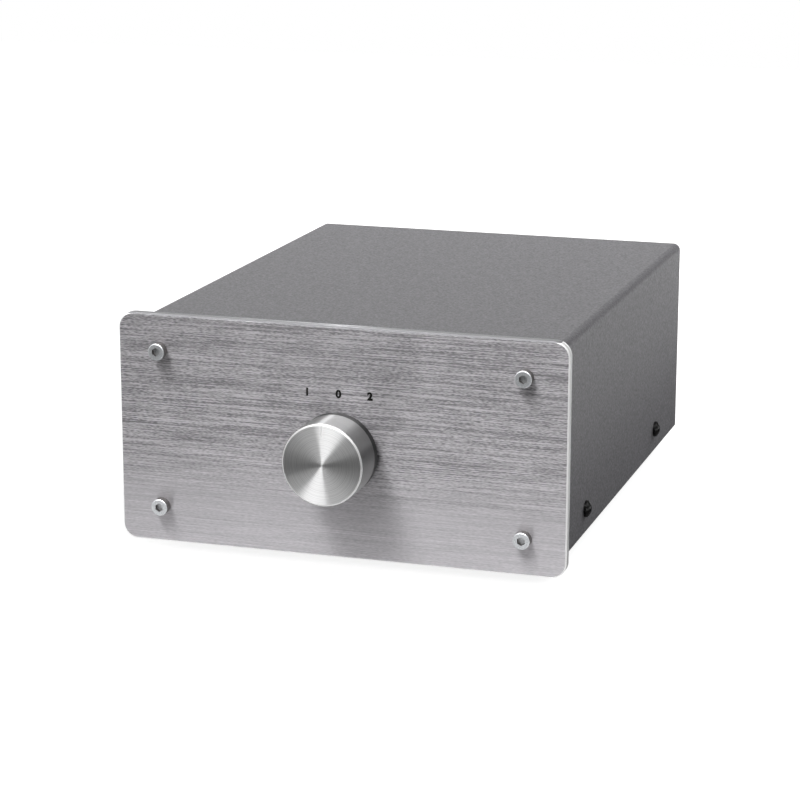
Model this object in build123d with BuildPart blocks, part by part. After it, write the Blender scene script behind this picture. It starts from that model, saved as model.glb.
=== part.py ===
from build123d import *
from math import cos, radians, sin, sqrt, tan
import os

# Speaker selector switch: a folded steel case behind a thick front plate, with one rotary switch
# and twelve binding posts on the rear wall. Millimetres. X runs to the right as seen from the
# front, the front faces -Y and Z points up. The origin lies on the surface that the feet stand
# on, below the middle of the length from the knob's face to the ends of the binding posts.

# ---------------------------------------------------------------- driving dimensions
# Front plate
plate_width = 150.0
plate_height = 76.0
plate_thickness = 3.0
plate_corner_radius = 5.0
plate_edge_chamfer = 0.45
plate_screw_inset_x = 10.0
plate_screw_inset_z = 9.0

# Case of folded sheet
case_width = 142.0
case_height = 70.0
case_depth = 185.5
sheet = 1.2
cover_bend_radius = 2.5
chassis_bend_radius = 2.0
cover_clearance = 0.15
side_flange_height = 14.0
return_flange_depth = 10.0
flange_end_margin = 4.0
flange_relief_gap = 1.0
cover_screw_height = 8.0
cover_screw_spacing = 108.0

# Feet
foot_height = 6.0
foot_radius = 7.0
foot_taper = 0.75
foot_chamfer = 0.8
foot_recess_radius = 4.0
foot_recess_depth = 3.2
foot_inset_x = 16.0
foot_inset_y = 20.0

# M3 screws and nuts
hexagon_sides = 6
screw_radius = 1.5
screw_hole_clearance = 0.2
thread_gap = 0.03
socket_head_radius = 2.75
socket_head_height = 3.0
socket_head_chamfer = 0.25
socket_width = 2.5
socket_depth = 1.5
pan_head_radius = 2.8
pan_head_height = 2.0
pan_head_rim = 0.8
cross_length = 3.0
cross_width = 0.7
cross_depth = 1.1
nut_width = 5.5
nut_thickness = 2.4
plate_screw_length = 8.0
cover_screw_length = 5.0
foot_screw_length = 8.0

# Knob
knob_radius = 13.4
knob_length = 15.5
knob_gap = 1.0
knob_drop = 3.0
knob_front_chamfer = 0.6
knob_back_chamfer = 0.3
knob_recess_radius = 9.5
knob_recess_depth = 4.5
groove_length = 4.5
groove_width = 0.5
groove_depth = 0.35
set_screw_length = 8.0
set_screw_socket_width = 1.5
set_screw_from_face = 7.0

# Rotary switch: shaft, bushing and detent
shaft_radius = 3.0
shaft_fit = 0.04
shaft_flat_distance = 1.5
shaft_front_setback = 3.0
knob_bore_end_gap = 0.3
tang_width = 4.0
bushing_radius = 5.0
bushing_hole_clearance = 0.2
bushing_projection = 3.6
bushing_washer_radius = 7.5
bushing_washer_thickness = 0.5
bushing_nut_width = 13.0
bushing_nut_thickness = 2.4
clip_radius = 4.2
clip_thickness = 0.6
clip_groove_depth = 0.5
clip_gap = 0.05
locating_pin_radius = 1.2
locating_pin_distance = 13.0
frame_plate_thickness = 2.0
cup_radius = 17.0
cup_wall = 2.0
cup_depth = 7.0
detent_count = 12
detent_wheel_radius = 10.0
detent_wheel_thickness = 3.0
detent_wheel_gap = 1.5
detent_depth = 1.0
detent_roundness = 1.9
detent_gap = 0.25
spring_thickness = 0.5
spring_nose_radius = 1.6
spring_end_gap = 0.15
spring_height_over_nose = 0.7
stop_lug_width = 3.0
stop_lug_reach = 3.0
stop_pad_width = 3.0
stop_gap = 0.15
straight_down = -90.0

# Rotary switch: wafers, rotors and contacts
wafer_radius = 17.0
wafer_thickness = 1.6
ear_distance = 20.0
ear_radius = 3.5
front_spacer_length = 12.0
rear_spacer_length = 14.0
spacer_radius = 2.5
rotor_radius = 8.2
rotor_gap = 0.3
blade_thickness = 0.4
blade_inner_radius = 4.8
blade_outer_radius = 6.8
blade_nub_reach = 1.2
blade_nub_angle = 14.0
blade_overlap_angle = 6.0
contact_width = 2.4
contact_thickness = 0.5
contact_lift = 0.5
contact_end_radius = 24.0
contact_jog_radius = 10.5
contact_jog_length = 1.0
throw_tip_radius = 7.3
common_tip_radius = 5.6
rear_wafer_turn = -15.0
switch_step_angle = 30.0
off_contact_angle = 105.0
common_contact_angle = 45.0

# Binding posts
group_spacing = 44.0
post_spacing_x = 19.0
post_spacing_z = 26.0
collar_radius = 7.5
collar_thickness = 3.0
collar_chamfer = 0.5
collar_boss_radius = 4.0
collar_boss_extra = 0.6
collar_hole_clearance = 0.1
inner_insulator_radius = 7.0
inner_insulator_thickness = 2.0
post_flange_radius = 6.0
post_flange_thickness = 1.5
post_stem_radius = 3.0
post_stem_length = 15.5
post_tail_radius = 2.5
post_tail_length = 11.0
post_tail_clearance = 0.1
plug_bore_radius = 2.0
plug_bore_floor = 0.5
wire_hole_radius = 1.3
wire_hole_margin = 0.2
post_nut_width = 8.0
post_nut_thickness = 3.2
lock_nut_thickness = 2.5
lug_radius = 4.5
lug_thickness = 0.8
lug_tab_width = 4.0
lug_tab_drop = 6.0
lug_tab_length = 9.0
cap_radius = 6.5
cap_length = 16.0
cap_fit = 0.06
cap_base_radius = 5.4
cap_base_length = 1.6
cap_nose_radius = 5.4
cap_nose_length = 3.2
cap_end_radius = 4.4
cap_end_length = 0.8
cap_flute_count = 12
cap_flute_radius = 1.1
cap_flute_depth = 0.45

# Internal leads
lead_radius = 1.1
lead_tab_radius = 21.5
lead_lift_step = 1.0
arc_share = 0.45

# ---------------------------------------------------------------- places that follow
post_projection = collar_thickness + post_flange_thickness + cap_length
knob_projection = knob_gap + knob_length
overall_length = knob_projection + plate_thickness + case_depth + post_projection

knob_front_y = -overall_length / 2
knob_back_y = knob_front_y + knob_length
plate_front_y = knob_back_y + knob_gap
case_front_y = plate_front_y + plate_thickness
case_rear_y = case_front_y + case_depth
case_centre_y = (case_front_y + case_rear_y) / 2
front_wall_inside_y = case_front_y + sheet
rear_wall_inside_y = case_rear_y - sheet

case_bottom_z = foot_height
case_top_z = case_bottom_z + case_height
case_centre_z = case_bottom_z + case_height / 2
axis_z = case_centre_z - knob_drop
floor_top_z = case_bottom_z + sheet

screw_hole_radius = screw_radius + screw_hole_clearance
plate_screw_spacing_x = case_width - 2 * plate_screw_inset_x
plate_screw_spacing_z = case_height - 2 * plate_screw_inset_z
chassis_width = case_width - 2 * (sheet + cover_clearance)
chassis_top_z = case_top_z - sheet - cover_clearance
cover_screw_z = case_bottom_z + cover_screw_height
cover_screw_ys = [case_centre_y - cover_screw_spacing / 2, case_centre_y + cover_screw_spacing / 2]
foot_x = case_width / 2 - foot_inset_x
foot_ys = {"front": case_front_y + foot_inset_y, "rear": case_rear_y - foot_inset_y}
foot_xs = {"left": -foot_x, "right": foot_x}
foot_places = [(x, y) for x in foot_xs.values() for y in foot_ys.values()]

cup_rear_y = front_wall_inside_y + frame_plate_thickness + cup_depth
wheel_front_y = front_wall_inside_y + frame_plate_thickness + detent_wheel_gap
wafer_front_ys = {"front": front_wall_inside_y + frame_plate_thickness + front_spacer_length}
wafer_front_ys["rear"] = wafer_front_ys["front"] + wafer_thickness + rear_spacer_length
wafer_turns = {"front": 0.0, "rear": rear_wafer_turn}
stack_rear_y = wafer_front_ys["rear"] + wafer_thickness
bushing_front_y = plate_front_y - bushing_projection
knob_recess_y = knob_back_y - knob_recess_depth
shaft_front_y = knob_front_y + shaft_front_setback
clip_rear_y = bushing_front_y - clip_gap

group_xs = {"input_1": -group_spacing, "input_2": 0.0, "common": group_spacing}
polarity_xs = {"red": -post_spacing_x / 2, "black": post_spacing_x / 2}
channel_zs = {
    "right": case_centre_z + post_spacing_z / 2,
    "left": case_centre_z - post_spacing_z / 2,
}
post_places = {
    (group, channel, colour): (group_x + colour_x, channel_z)
    for group, group_x in group_xs.items()
    for channel, channel_z in channel_zs.items()
    for colour, colour_x in polarity_xs.items()
}
post_flange_y = case_rear_y + collar_thickness
cap_seat_y = post_flange_y + post_flange_thickness
post_end_y = cap_seat_y + post_stem_length
post_column_xs = [group_x + colour_x for group_x in group_xs.values() for colour_x in polarity_xs.values()]
wire_hole_y = cap_seat_y + wire_hole_margin + wire_hole_radius
inner_insulator_y = rear_wall_inside_y - inner_insulator_thickness
post_nut_y = inner_insulator_y - post_nut_thickness
lug_y = post_nut_y - lug_thickness
lock_nut_y = lug_y - lock_nut_thickness
lug_tab_end_y = lug_y - lug_tab_length

os.makedirs("parts", exist_ok=True)


# ---------------------------------------------------------------- planes and shared forms
def front_view(y):
    """The plane across the box at depth y: local x is X, local y is Z, and it faces the front."""
    return Plane(origin=(0, y, 0), x_dir=(1, 0, 0), z_dir=(0, -1, 0))


def side_view(x):
    """The plane along the box at x: local x is Y, local y is Z, and it faces the right."""
    return Plane(origin=(x, 0, 0), x_dir=(0, 1, 0), z_dir=(1, 0, 0))


def nuts_along_y(width, hole_radius, front_y, thickness, places):
    """Hexagon nuts round axes along Y, from front_y backwards, one at each (x, z) place."""
    with BuildPart() as nuts:
        with BuildSketch(front_view(front_y)):
            with Locations(*places):
                RegularPolygon(width / 2, hexagon_sides, major_radius=False)
                Circle(hole_radius, mode=Mode.SUBTRACT)
        extrude(amount=-thickness)
    return nuts


def pan_screw(length):
    """A pan-head screw with a cross recess: its seat is at z = 0 and its shank points down."""
    with BuildPart() as screw:
        with BuildSketch(Plane.XZ):
            with BuildLine():
                Polyline(
                    (0, pan_head_height),
                    (0, -length),
                    (screw_radius, -length),
                    (screw_radius, 0),
                    (pan_head_radius, 0),
                    (pan_head_radius, pan_head_rim),
                )
                TangentArc((0, pan_head_height), (pan_head_radius, pan_head_rim), tangent=(1, 0))
            make_face()
        revolve(axis=Axis.Z)
        with BuildSketch(Plane.XY.offset(pan_head_height)):
            Rectangle(cross_length, cross_width)
            Rectangle(cross_width, cross_length)
        extrude(amount=-cross_depth, mode=Mode.SUBTRACT)
    return screw


def socket_screw(length):
    """A socket cap screw: its seat is at z = 0, its head above and its shank below."""
    with BuildPart() as screw:
        with BuildSketch():
            Circle(socket_head_radius)
        extrude(amount=socket_head_height)
        chamfer(screw.faces().sort_by(Axis.Z)[-1].edges(), socket_head_chamfer)
        with BuildSketch():
            Circle(screw_radius)
        extrude(amount=-length)
        with BuildSketch(Plane.XY.offset(socket_head_height)):
            RegularPolygon(socket_width / 2, hexagon_sides, major_radius=False)
        extrude(amount=-socket_depth, mode=Mode.SUBTRACT)
    return screw


# ---------------------------------------------------------------- front plate
with BuildPart() as front_plate:
    with BuildSketch(front_view(plate_front_y)):
        with Locations((0, case_centre_z)):
            RectangleRounded(plate_width, plate_height, plate_corner_radius)
    extrude(amount=-plate_thickness)
    chamfer(front_plate.faces().sort_by(Axis.Y)[0].edges(), plate_edge_chamfer)
    with BuildSketch(front_view(plate_front_y)):
        with Locations((0, case_centre_z)):
            with GridLocations(plate_screw_spacing_x, plate_screw_spacing_z, 2, 2):
                Circle(screw_hole_radius)
        with Locations((0, axis_z)):
            Circle(bushing_radius + bushing_hole_clearance)
    extrude(amount=-plate_thickness, mode=Mode.SUBTRACT)
front_plate.part.label = "front_plate"
export_step(front_plate.part, "parts/front_plate.step")

plate_screw_places = [
    (x, case_centre_z + z)
    for x in (-plate_screw_spacing_x / 2, plate_screw_spacing_x / 2)
    for z in (-plate_screw_spacing_z / 2, plate_screw_spacing_z / 2)
]
plate_screw = socket_screw(plate_screw_length)
with BuildPart() as plate_screws:
    with Locations(
        *[Plane(origin=(x, plate_front_y, z), z_dir=(0, -1, 0)) for x, z in plate_screw_places]
    ):
        add(plate_screw.part)
plate_screws.part.label = "plate_screws"
export_step(plate_screws.part, "parts/plate_screws.step")

plate_nuts = nuts_along_y(
    nut_width, screw_radius + thread_gap, front_wall_inside_y, nut_thickness, plate_screw_places
)
plate_nuts.part.label = "plate_nuts"
export_step(plate_nuts.part, "parts/plate_nuts.step")

# ---------------------------------------------------------------- base chassis
# One sheet folded into floor, front wall and rear wall, each wall with a flange turned in at its
# top, and a low flange along each side of the floor that takes the screws of the cover.
flange_root_x = chassis_width / 2 - 2 * chassis_bend_radius
flange_strip_length = case_depth - 2 * flange_end_margin
side_flange_length = flange_strip_length - 2 * flange_relief_gap
with BuildPart() as base_chassis:
    with BuildSketch(side_view(0)):
        with BuildLine():
            folded_sheet = FilletPolyline(
                (case_front_y + return_flange_depth, chassis_top_z),
                (case_front_y, chassis_top_z),
                (case_front_y, case_bottom_z),
                (case_rear_y, case_bottom_z),
                (case_rear_y, chassis_top_z),
                (case_rear_y - return_flange_depth, chassis_top_z),
                radius=chassis_bend_radius,
            )
            offset(folded_sheet, amount=sheet, side=Side.LEFT)
        make_face()
    extrude(amount=chassis_width / 2, both=True)
    with BuildSketch(front_view(case_front_y)) as cover_space:
        with Locations((0, (case_bottom_z + chassis_top_z) / 2)):
            Rectangle(chassis_width, chassis_top_z - case_bottom_z)
        fillet(cover_space.vertices().group_by(Axis.Y)[-1], cover_bend_radius - sheet)
    extrude(amount=-case_depth, mode=Mode.INTERSECT)
    with BuildSketch(Plane.XY.offset(case_bottom_z)):
        with Locations((0, case_centre_y)):
            with GridLocations(chassis_width, 0, 2, 1):
                Rectangle(chassis_width - 2 * flange_root_x, flange_strip_length)
    extrude(amount=sheet, mode=Mode.SUBTRACT)
    with BuildSketch(front_view(case_centre_y - side_flange_length / 2)):
        with BuildLine():
            side_flange = FilletPolyline(
                (flange_root_x, case_bottom_z),
                (chassis_width / 2, case_bottom_z),
                (chassis_width / 2, case_bottom_z + side_flange_height),
                radius=chassis_bend_radius,
            )
            offset(side_flange, amount=sheet, side=Side.LEFT)
        make_face()
        mirror(about=Plane.YZ)
    extrude(amount=-side_flange_length)
    with BuildSketch(front_view(case_front_y)):
        with Locations(*plate_screw_places):
            Circle(screw_hole_radius)
        with Locations((0, axis_z)):
            Circle(bushing_radius + bushing_hole_clearance)
        with Locations((0, axis_z - locating_pin_distance)):
            Circle(locating_pin_radius + screw_hole_clearance)
    extrude(amount=-sheet, mode=Mode.SUBTRACT)
    with BuildSketch(front_view(rear_wall_inside_y)):
        with Locations(*post_places.values()):
            Circle(collar_boss_radius + collar_hole_clearance)
    extrude(amount=-sheet, mode=Mode.SUBTRACT)
    with BuildSketch(Plane.XY.offset(case_bottom_z)):
        with Locations(*foot_places):
            Circle(screw_hole_radius)
    extrude(amount=sheet, mode=Mode.SUBTRACT)
    with BuildSketch(side_view(0)):
        with Locations(*[(y, cover_screw_z) for y in cover_screw_ys]):
            Circle(screw_radius + thread_gap)
    extrude(amount=chassis_width / 2, both=True, mode=Mode.SUBTRACT)
base_chassis.part.label = "base_chassis"
export_step(base_chassis.part, "parts/base_chassis.step")

# ---------------------------------------------------------------- top cover
with BuildPart() as top_cover:
    with BuildSketch(front_view(case_front_y)):
        with BuildLine():
            cover_outside = FilletPolyline(
                (-case_width / 2, case_bottom_z),
                (-case_width / 2, case_top_z),
                (case_width / 2, case_top_z),
                (case_width / 2, case_bottom_z),
                radius=cover_bend_radius,
            )
            offset(cover_outside, amount=sheet, side=Side.RIGHT)
        make_face()
    extrude(amount=-case_depth)
    with BuildSketch(side_view(0)):
        with Locations(*[(y, cover_screw_z) for y in cover_screw_ys]):
            Circle(screw_hole_radius)
    extrude(amount=case_width / 2, both=True, mode=Mode.SUBTRACT)
top_cover.part.label = "top_cover"
export_step(top_cover.part, "parts/top_cover.step")

cover_screw = pan_screw(cover_screw_length)
with BuildPart() as cover_screws:
    with Locations(
        *[
            Plane(origin=(side * case_width / 2, y, cover_screw_z), x_dir=(0, 1, 0), z_dir=(side, 0, 0))
            for side in (-1, 1)
            for y in cover_screw_ys
        ]
    ):
        add(cover_screw.part)
cover_screws.part.label = "cover_screws"
export_step(cover_screws.part, "parts/cover_screws.step")

# ---------------------------------------------------------------- feet
for end, foot_y in foot_ys.items():
    for hand, foot_centre_x in foot_xs.items():
        with BuildPart() as foot:
            with BuildSketch():
                with Locations((foot_centre_x, foot_y)):
                    Circle(foot_radius)
            with BuildSketch(Plane.XY.offset(foot_height)):
                with Locations((foot_centre_x, foot_y)):
                    Circle(foot_radius + foot_taper)
            loft()
            chamfer(foot.faces().sort_by(Axis.Z)[0].edges(), foot_chamfer)
            with BuildSketch():
                with Locations((foot_centre_x, foot_y)):
                    Circle(foot_recess_radius)
            extrude(amount=foot_recess_depth, mode=Mode.SUBTRACT)
            with BuildSketch():
                with Locations((foot_centre_x, foot_y)):
                    Circle(screw_hole_radius)
            extrude(amount=foot_height, mode=Mode.SUBTRACT)
        foot.part.label = f"foot_{end}_{hand}"
        export_step(foot.part, f"parts/foot_{end}_{hand}.step")

foot_screw = pan_screw(foot_screw_length)
with BuildPart() as foot_screws:
    with Locations(
        *[Plane(origin=(x, y, foot_recess_depth), z_dir=(0, 0, -1)) for x, y in foot_places]
    ):
        add(foot_screw.part)
foot_screws.part.label = "foot_screws"
export_step(foot_screws.part, "parts/foot_screws.step")

with BuildPart() as foot_nuts:
    with BuildSketch(Plane.XY.offset(floor_top_z)):
        with Locations(*foot_places):
            RegularPolygon(nut_width / 2, hexagon_sides, major_radius=False)
            Circle(screw_radius + thread_gap, mode=Mode.SUBTRACT)
    extrude(amount=nut_thickness)
foot_nuts.part.label = "foot_nuts"
export_step(foot_nuts.part, "parts/foot_nuts.step")

# ---------------------------------------------------------------- knob
set_screw_y = knob_front_y + set_screw_from_face
with BuildPart() as knob:
    with BuildSketch(front_view(knob_back_y)):
        with Locations((0, axis_z)):
            Circle(knob_radius)
    extrude(amount=knob_length)
    chamfer(knob.faces().sort_by(Axis.Y)[0].edges(), knob_front_chamfer)
    chamfer(knob.faces().sort_by(Axis.Y)[-1].edges(), knob_back_chamfer)
    with BuildSketch(front_view(knob_back_y)):
        with Locations((0, axis_z)):
            Circle(knob_recess_radius)
    extrude(amount=knob_recess_depth, mode=Mode.SUBTRACT)
    with BuildSketch(front_view(knob_back_y)):
        with Locations((0, axis_z)):
            Circle(shaft_radius + shaft_fit)
    extrude(amount=knob_back_y - shaft_front_y + knob_bore_end_gap, mode=Mode.SUBTRACT)
    with BuildSketch(Plane.XY.offset(axis_z)):
        with Locations((0, set_screw_y)):
            Circle(screw_radius + thread_gap)
    extrude(amount=-knob_radius, mode=Mode.SUBTRACT)
    with BuildSketch(front_view(knob_front_y)):
        with Locations((0, axis_z + knob_radius)):
            Rectangle(groove_width, 2 * groove_length)
    extrude(amount=-groove_depth, mode=Mode.SUBTRACT)
knob.part.label = "knob"
export_step(knob.part, "parts/knob.step")

with BuildPart() as knob_set_screw:
    with BuildSketch(Plane.XY.offset(axis_z - shaft_flat_distance)):
        with Locations((0, set_screw_y)):
            Circle(screw_radius)
    extrude(amount=-set_screw_length)
    with BuildSketch(Plane.XY.offset(axis_z - shaft_flat_distance - set_screw_length)):
        with Locations((0, set_screw_y)):
            RegularPolygon(set_screw_socket_width / 2, hexagon_sides, major_radius=False)
    extrude(amount=set_screw_socket_width, mode=Mode.SUBTRACT)
knob_set_screw.part.label = "knob_set_screw"
export_step(knob_set_screw.part, "parts/knob_set_screw.step")


# ---------------------------------------------------------------- rotary switch
def switch_outline():
    """Round plate with an ear on each side for the tie screws, round the switch's axis."""
    with Locations((0, axis_z)):
        Circle(wafer_radius)
        SlotCenterToCenter(2 * ear_distance, 2 * ear_radius)


def tie_screw_holes(radius):
    """The two holes in the ears."""
    with Locations((0, axis_z)):
        with GridLocations(2 * ear_distance, 0, 2, 1):
            Circle(radius, mode=Mode.SUBTRACT)


def tang_section(fit):
    """Section of the flattened shaft, larger all round by fit."""
    with BuildSketch(mode=Mode.PRIVATE) as section:
        Circle(shaft_radius + fit)
        Rectangle(tang_width + 2 * fit, 2 * (shaft_radius + fit), mode=Mode.INTERSECT)
    return section.sketch


def ring_sector(inner_radius, outer_radius, start_angle, end_angle):
    """A sector of a ring round the local origin."""
    with BuildSketch(mode=Mode.PRIVATE) as sector:
        with BuildLine():
            outer = CenterArc((0, 0), outer_radius, start_angle, end_angle - start_angle)
            inner = CenterArc((0, 0), inner_radius, start_angle, end_angle - start_angle)
            Line(outer @ 0, inner @ 0)
            Line(outer @ 1, inner @ 1)
        make_face()
    return sector.sketch


# The frame carries the bushing in front and the cup of the detent behind. Two pads on the cup's
# wall stop the lug of the detent wheel, which hangs straight down in the middle position.
stop_radius = detent_wheel_radius + stop_lug_reach
cup_inner_radius = cup_radius - cup_wall
with BuildPart() as switch_frame:
    with BuildSketch(front_view(front_wall_inside_y)):
        switch_outline()
        tie_screw_holes(screw_radius + thread_gap)
    extrude(amount=-frame_plate_thickness)
    with BuildSketch(front_view(front_wall_inside_y)):
        with Locations((0, axis_z)):
            Circle(bushing_radius)
    extrude(amount=front_wall_inside_y - bushing_front_y)
    with BuildSketch(front_view(cup_rear_y)):
        with Locations((0, axis_z)):
            Circle(cup_radius)
            Circle(cup_inner_radius, mode=Mode.SUBTRACT)
        for turn_side in (-1, 1):
            stop_place = (
                Pos(0, axis_z)
                * Rot(Z=straight_down + turn_side * switch_step_angle)
                * Pos(stop_radius, turn_side * (stop_lug_width + stop_pad_width + 2 * stop_gap) / 2)
            )
            with Locations(stop_place):
                Rectangle(2 * (cup_inner_radius - stop_radius) + cup_wall / 2, stop_pad_width)
    extrude(amount=cup_depth)
    with BuildSketch(front_view(bushing_front_y)):
        with Locations((0, axis_z)):
            Circle(shaft_radius + shaft_fit)
    extrude(amount=bushing_front_y - cup_rear_y, mode=Mode.SUBTRACT)
    with BuildSketch(front_view(front_wall_inside_y)):
        with Locations((0, axis_z - locating_pin_distance)):
            Circle(locating_pin_radius)
    extrude(amount=sheet)
switch_frame.part.label = "switch_frame"
export_step(switch_frame.part, "parts/switch_frame.step")

with BuildPart() as bushing_washer:
    with BuildSketch(front_view(plate_front_y)):
        with Locations((0, axis_z)):
            Circle(bushing_washer_radius)
            Circle(bushing_radius + thread_gap, mode=Mode.SUBTRACT)
    extrude(amount=bushing_washer_thickness)
bushing_washer.part.label = "bushing_washer"
export_step(bushing_washer.part, "parts/bushing_washer.step")

bushing_nut = nuts_along_y(
    bushing_nut_width,
    bushing_radius + thread_gap,
    plate_front_y - bushing_washer_thickness - bushing_nut_thickness,
    bushing_nut_thickness,
    [(0, axis_z)],
)
bushing_nut.part.label = "bushing_nut"
export_step(bushing_nut.part, "parts/bushing_nut.step")

shaft_flat_end_y = knob_recess_y
clip_groove_radius = shaft_radius - clip_groove_depth
with BuildPart() as switch_shaft:
    with BuildSketch(front_view(shaft_front_y)):
        with Locations((0, axis_z)):
            Circle(shaft_radius)
    extrude(amount=shaft_front_y - wheel_front_y)
    with BuildSketch(front_view(wheel_front_y)):
        with Locations((0, axis_z)):
            add(tang_section(0))
    extrude(amount=wheel_front_y - stack_rear_y - contact_lift - contact_thickness)
    with BuildSketch(front_view(shaft_front_y)):
        with Locations((0, axis_z - shaft_flat_distance - shaft_radius)):
            Rectangle(2 * shaft_radius, 2 * shaft_radius)
    extrude(amount=shaft_front_y - shaft_flat_end_y, mode=Mode.SUBTRACT)
    with BuildSketch(front_view(clip_rear_y)):
        with Locations((0, axis_z)):
            Circle(shaft_radius)
            Circle(clip_groove_radius, mode=Mode.SUBTRACT)
    extrude(amount=clip_thickness, mode=Mode.SUBTRACT)
switch_shaft.part.label = "switch_shaft"
export_step(switch_shaft.part, "parts/switch_shaft.step")

with BuildPart() as shaft_clip:
    with BuildSketch(front_view(clip_rear_y)):
        with Locations((0, axis_z)):
            Circle(clip_radius)
            Circle(clip_groove_radius, mode=Mode.SUBTRACT)
        with Locations((0, axis_z - clip_radius)):
            Rectangle(clip_groove_radius * sqrt(2), 2 * clip_radius, mode=Mode.SUBTRACT)
    extrude(amount=clip_thickness)
shaft_clip.part.label = "shaft_clip"
export_step(shaft_clip.part, "parts/shaft_clip.step")

detent_floor_radius = detent_wheel_radius - detent_depth
with BuildPart() as detent_wheel:
    with BuildSketch(front_view(wheel_front_y)):
        with Locations((0, axis_z)):
            Circle(detent_wheel_radius)
            with PolarLocations(detent_floor_radius + detent_roundness, detent_count):
                Circle(detent_roundness, mode=Mode.SUBTRACT)
        with Locations((0, axis_z - detent_wheel_radius)):
            Rectangle(stop_lug_width, 2 * stop_lug_reach)
        with Locations((0, axis_z)):
            add(tang_section(thread_gap), mode=Mode.SUBTRACT)
    extrude(amount=-detent_wheel_thickness)
detent_wheel.part.label = "detent_wheel"
export_step(detent_wheel.part, "parts/detent_wheel.step")

# The spring is a leaf across the cup: its ends rest on the cup's wall and its nose, bent from the
# same strip, drops into the wheel's hollows.
nose_centre = detent_floor_radius + detent_gap + spring_nose_radius
spring_top = nose_centre + spring_height_over_nose + spring_thickness / 2
spring_half_length = sqrt((cup_inner_radius - spring_end_gap) ** 2 - spring_top**2)
with BuildPart() as detent_spring:
    with BuildSketch(front_view(wheel_front_y)):
        with Locations((0, axis_z + nose_centre)):
            Circle(spring_nose_radius)
        with Locations((0, axis_z + spring_top + spring_nose_radius)):
            Rectangle(2 * spring_half_length, 2 * spring_nose_radius, mode=Mode.SUBTRACT)
        with Locations((0, axis_z + spring_top - spring_thickness / 2)):
            Rectangle(2 * spring_half_length, spring_thickness)
        with Locations((0, axis_z + nose_centre)):
            Circle(spring_nose_radius - spring_thickness, mode=Mode.SUBTRACT)
    extrude(amount=-detent_wheel_thickness)
detent_spring.part.label = "detent_spring"
export_step(detent_spring.part, "parts/detent_spring.step")

# The contacts of one pole, by their angles round the axis as seen from the front. Each wafer has
# two poles, half a turn apart: the upper one switches the right channel, the lower one the left.
pole_turns = {"right": 0.0, "left": 180.0}
throw_angles = [
    off_contact_angle + switch_step_angle,
    off_contact_angle,
    off_contact_angle - switch_step_angle,
]
for place, wafer_y in wafer_front_ys.items():
    wafer_turn = wafer_turns[place]
    wafer_rear_y = wafer_y + wafer_thickness

    with BuildPart() as wafer:
        with BuildSketch(front_view(wafer_y)):
            switch_outline()
            tie_screw_holes(screw_hole_radius)
            with Locations((0, axis_z)):
                Circle(rotor_radius + rotor_gap, mode=Mode.SUBTRACT)
        extrude(amount=-wafer_thickness)
    wafer.part.label = f"wafer_{place}"
    export_step(wafer.part, f"parts/wafer_{place}.step")

    with BuildPart() as rotor:
        with BuildSketch(front_view(wafer_y)):
            with Locations((0, axis_z)):
                Circle(rotor_radius)
                add(tang_section(thread_gap), mode=Mode.SUBTRACT)
        extrude(amount=-wafer_thickness)
    rotor.part.label = f"rotor_{place}"
    export_step(rotor.part, f"parts/rotor_{place}.step")

    blade_ring = ring_sector(
        blade_inner_radius,
        blade_outer_radius,
        common_contact_angle - switch_step_angle - blade_overlap_angle,
        off_contact_angle + blade_nub_angle / 2,
    )
    blade_nub = ring_sector(
        blade_outer_radius,
        blade_outer_radius + blade_nub_reach,
        off_contact_angle - blade_nub_angle / 2,
        off_contact_angle + blade_nub_angle / 2,
    )
    with BuildPart() as rotor_blades:
        with BuildSketch(front_view(wafer_rear_y)):
            for pole_turn in pole_turns.values():
                with Locations(Pos(0, axis_z) * Rot(Z=wafer_turn + pole_turn)):
                    add(blade_ring)
                    add(blade_nub)
        extrude(amount=-blade_thickness)
    rotor_blades.part.label = f"rotor_blades_{place}"
    export_step(rotor_blades.part, f"parts/rotor_blades_{place}.step")

    with BuildPart() as contacts:
        for pole_turn in pole_turns.values():
            for contact_angle in throw_angles + [common_contact_angle]:
                is_common = contact_angle == common_contact_angle
                tip_radius = common_tip_radius if is_common else throw_tip_radius
                angle = radians(contact_angle + pole_turn + wafer_turn)
                contact_plane = Plane(
                    origin=(0, wafer_rear_y, axis_z),
                    x_dir=(cos(angle), 0, sin(angle)),
                    z_dir=(-sin(angle), 0, cos(angle)),
                )
                with BuildSketch(contact_plane):
                    with BuildLine():
                        strip = Polyline(
                            (contact_end_radius, 0),
                            (contact_jog_radius, 0),
                            (contact_jog_radius - contact_jog_length, contact_lift),
                            (tip_radius, contact_lift),
                        )
                        offset(
                            strip, amount=contact_thickness, side=Side.RIGHT, kind=Kind.INTERSECTION
                        )
                    make_face()
                extrude(amount=contact_width / 2, both=True)
    contacts.part.label = f"contacts_{place}"
    export_step(contacts.part, f"parts/contacts_{place}.step")

ear_places = [(-ear_distance, axis_z), (ear_distance, axis_z)]
spacer_runs = [
    (front_wall_inside_y + frame_plate_thickness, front_spacer_length),
    (wafer_front_ys["front"] + wafer_thickness, rear_spacer_length),
]
with BuildPart() as switch_spacers:
    for spacer_y, spacer_length in spacer_runs:
        with BuildSketch(front_view(spacer_y)):
            with Locations(*ear_places):
                Circle(spacer_radius)
                Circle(screw_hole_radius, mode=Mode.SUBTRACT)
        extrude(amount=-spacer_length)
switch_spacers.part.label = "switch_spacers"
export_step(switch_spacers.part, "parts/switch_spacers.step")

tie_screw = pan_screw(stack_rear_y - front_wall_inside_y)
with BuildPart() as tie_screws:
    with Locations(
        *[Plane(origin=(x, stack_rear_y, z), x_dir=(1, 0, 0), z_dir=(0, 1, 0)) for x, z in ear_places]
    ):
        add(tie_screw.part)
tie_screws.part.label = "tie_screws"
export_step(tie_screws.part, "parts/tie_screws.step")

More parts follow.
